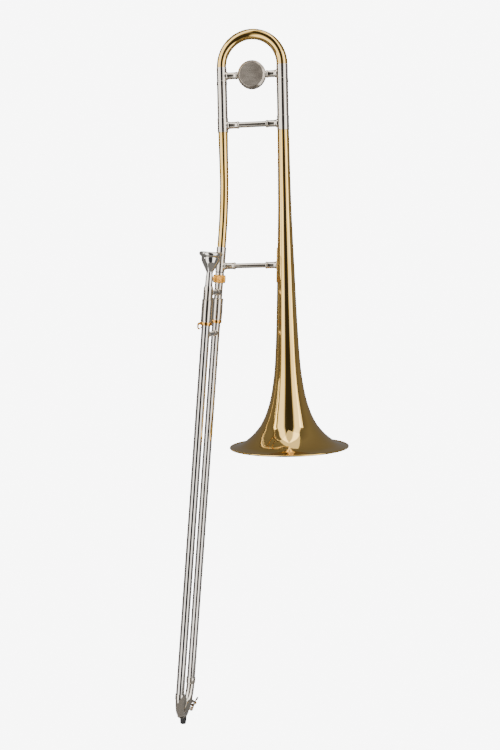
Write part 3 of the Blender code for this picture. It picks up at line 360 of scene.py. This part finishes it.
turnedNodes = [
    (bellAxis, ["bell_ferrule", "bell_slide_tube", "bow_ferrule_bell", "tuning_leg_bell"]),
    (neckAxis, ["neck_ferrule", "neck_slide_tube", "bow_ferrule_neck", "tuning_leg_neck"]),
    (lowerAxis, [
        "slide_receiver", "receiver_washer", "receiver_thread", "tenon", "inner_tube_lower",
        "cork_barrel_lower", "barrel_bumper_lower", "barrel_ring_lower", "outer_tube_lower",
        "slide_ferrule_lower",
    ]),
    (upperAxis, [
        "mouthpiece_receiver", "leadpipe", "inner_tube_upper", "cork_barrel_upper",
        "barrel_bumper_upper", "outer_tube_upper", "slide_ferrule_upper",
    ]),
]
for axis, nodes in turnedNodes:
    for node in nodes:
        turnedPiece(node, outlineOf(node, axis), axis)
print("tubes and rings turned:", sum(len(nodes) for axis, nodes in turnedNodes))


# braces

braceTubes = [
    "upper_brace_tube", "lower_brace_tube", "weight_brace_tube", "inner_brace_tube", "outer_brace_tube",
]


def middleOf(node):
    low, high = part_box(node)
    return (low + high) / 2


def braceAxis(node):
    # through the middle of the brace's box, along its longest side
    low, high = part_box(node)
    size = np.array(high - low)
    return middleOf(node), Vector((size == size.max()).astype(float))


for node in braceTubes:
    turnedPiece(node, outlineOf(node, braceAxis(node)), braceAxis(node))
print("brace tubes turned:", len(braceTubes))


# bell and mouthpiece

bellTurning = {"steps": 144, "soft": 42, "parts": 6, "bevel": 0.0}
mouthpieceTurning = {"steps": 96, "soft": 60, "parts": 6, "bevel": 0.0}
turnedPiece("bell", outlineOf("bell", bellAxis), bellAxis, bellTurning)
turnedPiece("mouthpiece", outlineOf("mouthpiece", upperAxis), upperAxis, mouthpieceTurning)
print("bell and mouthpiece turned")


# brace sockets

socketTurning = {"steps": 56, "soft": 48, "parts": 4, "bevel": 0.0}
socketShape = {
    "footDepth": 0.0006,        # how far the foot goes on past the tube's flank
    "footShare": 1.18,          # the foot's radius over the barrel's
    # each pair: share of the barrel's radius, height above the tube that it stands on
    "flare": ((1.18, 0.0004), (1.10, 0.0014), (1.02, 0.0028), (1.0, 0.0046)),
    # each pair: how far it stands out from the barrel, distance from the socket's end
    "collar": ((0.0, 0.0034), (0.0004, 0.0029), (0.00048, 0.0018), (0.0004, 0.0007), (-0.0002, 0.0)),
}
right = Vector((1, 0, 0))
back = Vector((0, 1, 0))
# how far along its axis each brace stands: above the bell's mouth, or down the slide from the corner
braceAlong = {
    "upper": middleOf("upper_brace_tube").z,
    "lower": middleOf("lower_brace_tube").z,
    "weight": middleOf("weight_brace_tube").z,
    "lowerOnSlide": -0.1069,
    "inner": -0.1505,
    "outer": -0.2200,
}
# each socket: the axis that it stands on, how far along it, its direction, the radius of its seat
sockets = {
    "upper_brace_socket_neck": (neckAxis, braceAlong["upper"], right, 0.00915),
    "upper_brace_socket_bell": (bellAxis, braceAlong["upper"], -right, 0.01035),
    "weight_socket_neck": (neckAxis, braceAlong["weight"], right, 0.0084),
    "weight_socket_bell": (bellAxis, braceAlong["weight"], -right, 0.0096),
    "lower_brace_socket_bell": (bellAxis, braceAlong["lower"], -right, 0.0158),
    "lower_brace_socket_neck": (lowerAxis, braceAlong["lowerOnSlide"], right, 0.0082),
    "inner_brace_socket_lower": (lowerAxis, braceAlong["inner"], -back, 0.0071),
    "inner_brace_socket_upper": (upperAxis, braceAlong["inner"], back, 0.0080),
    "outer_brace_socket_lower": (lowerAxis, braceAlong["outer"], -back, 0.00725),
    "outer_brace_socket_upper": (upperAxis, braceAlong["outer"], back, 0.00725),
}


def makeSocket(node, axis, along, direction, seat):
    # a wide foot that flares in to the barrel, and a rounded collar at the open end
    base, up = axis
    origin = base + up * along
    low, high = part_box(node)
    size = high - low
    footRadius = (size.y if direction.x else size.x) / 2
    barrel = footRadius / socketShape["footShare"]
    reach = max((low - origin).dot(direction), (high - origin).dot(direction))
    foot = math.sqrt(max(seat**2 - footRadius**2, 0.0)) - socketShape["footDepth"]
    outline = [
        (0, foot),
        (footRadius, foot),
        *((barrel * share, seat + rise) for share, rise in socketShape["flare"]),
        *((barrel + stand, reach - drop) for stand, drop in socketShape["collar"]),
        (0, reach),
    ]
    turnedPiece(node, outline, (origin, direction), socketTurning)


for node, seating in sockets.items():
    makeSocket(node, *seating)
print("brace sockets turned:", len(sockets))


# counterweight

weight = {"radius": 0.0234, "faceRadius": 0.0198, "half": 0.0075, "bevelDepth": 0.0030}
weightTurning = {"steps": 128, "soft": 10, "parts": 4, "bevel": 0.0004}
weightFinish = metalFinish("brushedDisc", {
    "colour": (0.40, 0.35, 0.29), "shade": (0.27, 0.23, 0.19), "cloud": 40, "roughness": 0.26,
    "grain": 60, "lines": 6, "bump": 0.10, "coat": 0.0,
})


def makeCounterweight():
    # a disc with a sloped edge on both faces, which are bare
    edge = weight["half"] - weight["bevelDepth"]
    outline = [
        (0, weight["half"]), (weight["faceRadius"], weight["half"]), (weight["radius"], edge),
        (weight["radius"], -edge), (weight["faceRadius"], -weight["half"]), (0, -weight["half"]),
    ]
    disc = turnedPiece("counterweight", outline, (middleOf("counterweight"), -back), weightTurning)
    disc.data.materials[0] = weightFinish


makeCounterweight()
print("counterweight turned")


# bent pipes

neck = {
    "radius": 0.00735, "topRadius": 0.00815, "wall": 0.0006, "taperTop": 0.530, "taper": 0.080,
    "bendHalf": 0.050, "end": 0.086, "steps": 64, "topRings": 40, "bendRings": 30, "endRings": 10,
}
bow = {
    "centreHeight": 0.638, "neckRadius": 0.0079, "bellRadius": 0.0094, "wall": 0.0007,
    "straight": 0.0008, "steps": 72, "rings": 96,
}
handBow = {
    "centreDown": 0.8396, "endDown": 0.8363, "radius": 0.0072, "wall": 0.0005, "steps": 56, "rings": 80,
}


def makeNeckpipe():
    # straight down, an arc through the slide's lean, and straight on into the receiver
    lean = layout["lean"]
    arcRadius = neck["bendHalf"] / math.tan(lean / 2)
    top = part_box("neckpipe")[1].z
    bendTop = layout["cornerHeight"] + neck["bendHalf"]
    heights = np.linspace(top, bendTop, neck["topRings"], endpoint=False)
    turn = np.linspace(0, lean, neck["bendRings"])
    runs = np.linspace(neck["bendHalf"], neck["end"], neck["endRings"])[1:]
    x = np.concatenate([0 * heights, arcRadius * (np.cos(turn) - 1), -math.sin(lean) * runs])
    x -= layout["tubeSpacing"]
    z = np.concatenate([
        heights, bendTop - arcRadius * np.sin(turn), layout["cornerHeight"] - math.cos(lean) * runs,
    ])
    angle = np.concatenate([0 * heights, turn, 0 * runs + lean])
    headings = np.stack([-np.sin(angle), 0 * angle, -np.cos(angle)], axis=1)
    share = np.clip((neck["taperTop"] - z) / neck["taper"], 0, 1)
    outer = neck["topRadius"] + (neck["radius"] - neck["topRadius"]) * share
    sweptPiece("neckpipe", np.stack([x, 0 * x, z], axis=1), headings, back, outer, neck)


def makeTuningBow():
    # a half circle with a short straight end each side, and a radius that grows evenly to the bell's side
    half = layout["tubeSpacing"] / 2
    turn = np.pi * (1 - np.linspace(0, 1, bow["rings"]))
    x = np.concatenate([[-2 * half], half * np.cos(turn) - half, [0.0]])
    z = np.concatenate([[-bow["straight"]], half * np.sin(turn), [-bow["straight"]]]) + bow["centreHeight"]
    angle = np.concatenate([[np.pi], turn, [0.0]])
    headings = np.stack([np.sin(angle), 0 * angle, -np.cos(angle)], axis=1)
    outer = bow["neckRadius"] + (1 - angle / np.pi) * (bow["bellRadius"] - bow["neckRadius"])
    sweptPiece("tuning_bow", np.stack([x, 0 * x, z], axis=1), headings, back, outer, bow)


def makeHandBow():
    # a half circle in the plane of the slide's two tubes, with a short straight end each side
    half = layout["slideSpacing"] / 2
    turn = np.linspace(0, np.pi, handBow["rings"])
    y = np.concatenate([[0.0], half * np.cos(turn) - half, [-2 * half]])
    down = np.concatenate([
        [handBow["endDown"]], handBow["centreDown"] + half * np.sin(turn), [handBow["endDown"]],
    ])
    angle = np.concatenate([[0.0], turn, [np.pi]])[:, None]
    up = np.array(slideUp)
    across = np.array(back)
    centres = np.array(corner) + y[:, None] * across - down[:, None] * up
    headings = -np.sin(angle) * across - np.cos(angle) * up
    outer = np.full(len(y), handBow["radius"])
    sweptPiece("slide_bow", centres, headings, np.cross(across, up), outer, handBow)


makeNeckpipe()
makeTuningBow()
makeHandBow()
print("bent pipes swept")


# lock nut

nut = {
    "top": 0.1215, "length": 0.0136, "radius": 0.0111, "endRadius": 0.0096, "bore": 0.0077,
    "knurls": 60, "knurlDepth": 0.00035, "stepsToKnurl": 8, "rings": 41,
    "swell": 0.45,          # below 1 the barrel is full towards its ends
    "knurlFrom": 0.55,      # the share of the swell at which the knurl begins
    "knurlRise": 4,         # how fast it deepens past that
}


def makeLockNut():
    # A barrel whose radius swells as a power of a half sine along it, cut by a cosine wave round it that
    # fades out towards both ends.
    share = np.linspace(0, 1, nut["rings"])
    swell = np.clip(np.sin(np.pi * share), 0, 1) ** nut["swell"]
    radius = nut["endRadius"] + (nut["radius"] - nut["endRadius"]) * swell
    angle = np.linspace(0, 2 * np.pi, nut["knurls"] * nut["stepsToKnurl"], endpoint=False)
    wave = nut["knurlDepth"] * (1 - np.cos(nut["knurls"] * angle)) / 2
    depth = np.clip((swell - nut["knurlFrom"]) * nut["knurlRise"], 0, 1)
    outside = radius[:, None] - depth[:, None] * wave
    reach = np.concatenate([outside, np.full((2, len(angle)), nut["bore"])])
    down = nut["top"] + nut["length"] * np.concatenate([share, [1.0, 0.0]])
    up = np.array(slideUp)
    across = np.array(back)
    ring = np.cos(angle)[:, None] * np.cross(across, up) + np.sin(angle)[:, None] * across
    points = np.array(corner) + reach[:, :, None] * ring - down[:, None, None] * up
    gridPiece("lock_nut", points, sharp=edges["nutSharp"])


makeLockNut()
print("lock nut cut")


# small fittings, each with the width of its eased edges

fittings = {
    "bell_saddle": 0.00015, "slide_lock": 0.00025, "bow_guard": 0.00012, "rubber_tip": 0.0004,
    "lock_catch": 0.0002, "water_nipple": 0.00015, "water_key_saddle": 0.0002, "water_key_screw": 0.0001,
    "water_key_lever": 0.0003, "water_key_cork": 0.0002, "water_key_spring": 0.0,
}


def makeFitting(node, bevel):
    # the node's own shape, merged, with its flat faces whole again
    mesh = bpy.data.meshes.new(node + "_fine")
    work = bmesh.new()
    work.from_mesh(frame["nodes"][node].data)
    bmesh.ops.remove_doubles(work, verts=work.verts, dist=edges["fittingMerge"])
    flat = math.radians(edges["flat"])
    bmesh.ops.dissolve_limit(work, angle_limit=flat, verts=work.verts, edges=work.edges)
    work.to_mesh(mesh)
    work.free()
    finishPiece(node, mesh, bevel, edges["fittingSharp"])


for node, bevel in fittings.items():
    makeFitting(node, bevel)
print("small fittings made:", len(fittings))


# camera, floor and light

cameraLook = {
    "place": (0.28284, -1.87742, 0.29972), "forward": (-0.1815, 0.9790, -0.0924), "roll": -0.02205,
    "lens": 54.04, "film": 36.0,
}
floorLook = {
    "radius": 1.3, "sides": 96,
    "slideRoom": 0.60,      # below the model at rest, so that the hand slide can come out over it
    "colour": (0.30, 0.29, 0.28), "roughness": 0.9, "glow": 7.6,
}
lamps = {
    "keyLeft": {"place": (-1.9, -0.9, 1.2), "size": (0.5, 1.8), "power": 14},
    "fillRight": {"place": (1.9, -0.6, 0.9), "size": (0.5, 1.8), "power": 9},
    "top": {"place": (0.2, -0.3, 2.2), "size": (1.2, 1.2), "power": 6},
}
lampAim = Vector((-0.05, 0, 0.1))
room = {
    "viewer": (0.1822, -0.9833, 0),
    "white": 8.0,
    # each pair: place from the wall behind the object to the viewer's end, brightness there
    "walls": (
        (0.0, 0.20), (0.40, 0.26), (0.72, 0.16),    # the wall behind and the two sides
        (0.765, 3.2), (0.925, 3.2),                 # a bright strip on each side of the viewer
        (0.965, 0.07), (1.0, 0.05),                 # the dark end
    ),
}


def makeCamera():
    forward = Vector(cameraLook["forward"]).normalized()
    level = forward.cross(upright).normalized()
    above = level.cross(forward)
    roll = cameraLook["roll"]
    across = math.cos(roll) * level + math.sin(roll) * above
    up = math.cos(roll) * above - math.sin(roll) * level
    data = bpy.data.cameras.new("photoView")
    data.sensor_fit = "VERTICAL"
    data.sensor_height = cameraLook["film"]
    data.lens = cameraLook["lens"]
    camera = bpy.data.objects.new("photoView", data)
    turn = Matrix((across, up, -forward)).transposed().to_4x4()
    camera.matrix_world = Matrix.Translation(cameraLook["place"]) @ turn
    bpy.context.scene.collection.objects.link(camera)
    bpy.context.scene.camera = camera


def makeFloor():
    # a pale disc: the eye sees it white, and the metal mirrors it no brighter than the room
    angle = np.linspace(0, 2 * np.pi, floorLook["sides"], endpoint=False)
    height = cadBox[0][2] - floorLook["slideRoom"]
    points = np.stack([
        floorLook["radius"] * np.cos(angle), floorLook["radius"] * np.sin(angle), 0 * angle + height,
    ], axis=1)
    mesh = bpy.data.meshes.new("floor")
    mesh.from_pydata(points.tolist(), [], [list(range(floorLook["sides"]))])
    floor = bpy.data.objects.new("floor", mesh)
    bpy.context.scene.collection.objects.link(floor)
    paper, nodes, links, shader = plainMaterial("palePaper")
    shader.inputs["Base Color"].default_value = (*floorLook["colour"], 1)
    shader.inputs["Roughness"].default_value = floorLook["roughness"]
    shader.inputs["Emission Color"].default_value = (1, 1, 1, 1)
    seen = nodes.new("ShaderNodeLightPath")
    glow = nodes.new("ShaderNodeMath")
    glow.operation = "MULTIPLY"
    glow.inputs[1].default_value = floorLook["glow"]
    links.new(seen.outputs["Is Camera Ray"], glow.inputs[0])
    links.new(glow.outputs[0], shader.inputs["Emission Strength"])
    mesh.materials.append(paper)


def makeLamp(name, lamp):
    data = bpy.data.lights.new(name, "AREA")
    data.shape = "RECTANGLE"
    data.size, data.size_y = lamp["size"]
    data.energy = lamp["power"]
    light = bpy.data.objects.new(name, data)
    aim = lampAim - Vector(lamp["place"])
    turn = aim.to_track_quat("-Z", "Y").to_matrix().to_4x4()
    light.matrix_world = Matrix.Translation(lamp["place"]) @ turn
    bpy.context.scene.collection.objects.link(light)


def makeRoom():
    # White to the eye. What the metal mirrors depends on the level direction alone: its dot product
    # with the way to the viewer, from -1 to 1, runs along the walls' brightness.
    world = bpy.data.worlds.new("studio")
    bpy.context.scene.world = world
    world.use_nodes = True
    nodes = world.node_tree.nodes
    links = world.node_tree.links
    place = nodes.new("ShaderNodeTexCoord")
    level = nodes.new("ShaderNodeVectorMath")
    level.operation = "MULTIPLY"
    level.inputs[1].default_value = (1, 1, 0)
    links.new(place.outputs["Generated"], level.inputs[0])
    unit = nodes.new("ShaderNodeVectorMath")
    unit.operation = "NORMALIZE"
    links.new(level.outputs[0], unit.inputs[0])
    facing = nodes.new("ShaderNodeVectorMath")
    facing.operation = "DOT_PRODUCT"
    facing.inputs[1].default_value = room["viewer"]
    links.new(unit.outputs[0], facing.inputs[0])
    share = nodes.new("ShaderNodeMapRange")
    share.inputs["From Min"].default_value = -1.0
    links.new(facing.outputs["Value"], share.inputs["Value"])
    walls = nodes.new("ShaderNodeValToRGB")
    stops = walls.color_ramp.elements
    while len(stops) < len(room["walls"]):
        stops.new(0.5)
    for stop, (position, value) in zip(stops, room["walls"]):
        stop.position = position
        stop.color = (value, value, value, 1)
    links.new(share.outputs["Result"], walls.inputs["Fac"])
    seen = nodes.new("ShaderNodeLightPath")
    choice = nodes.new("ShaderNodeMix")    # as a colour mix, inputs 6 and 7 are its two colours
    choice.data_type = "RGBA"
    links.new(seen.outputs["Is Camera Ray"], choice.inputs[0])
    links.new(walls.outputs["Color"], choice.inputs[6])
    choice.inputs[7].default_value = (room["white"], room["white"], room["white"], 1)
    links.new(choice.outputs[2], nodes["Background"].inputs["Color"])
    nodes["Background"].inputs["Strength"].default_value = 1.0


makeCamera()
makeFloor()
for name, lamp in lamps.items():
    makeLamp(name, lamp)
makeRoom()
print("studio set")
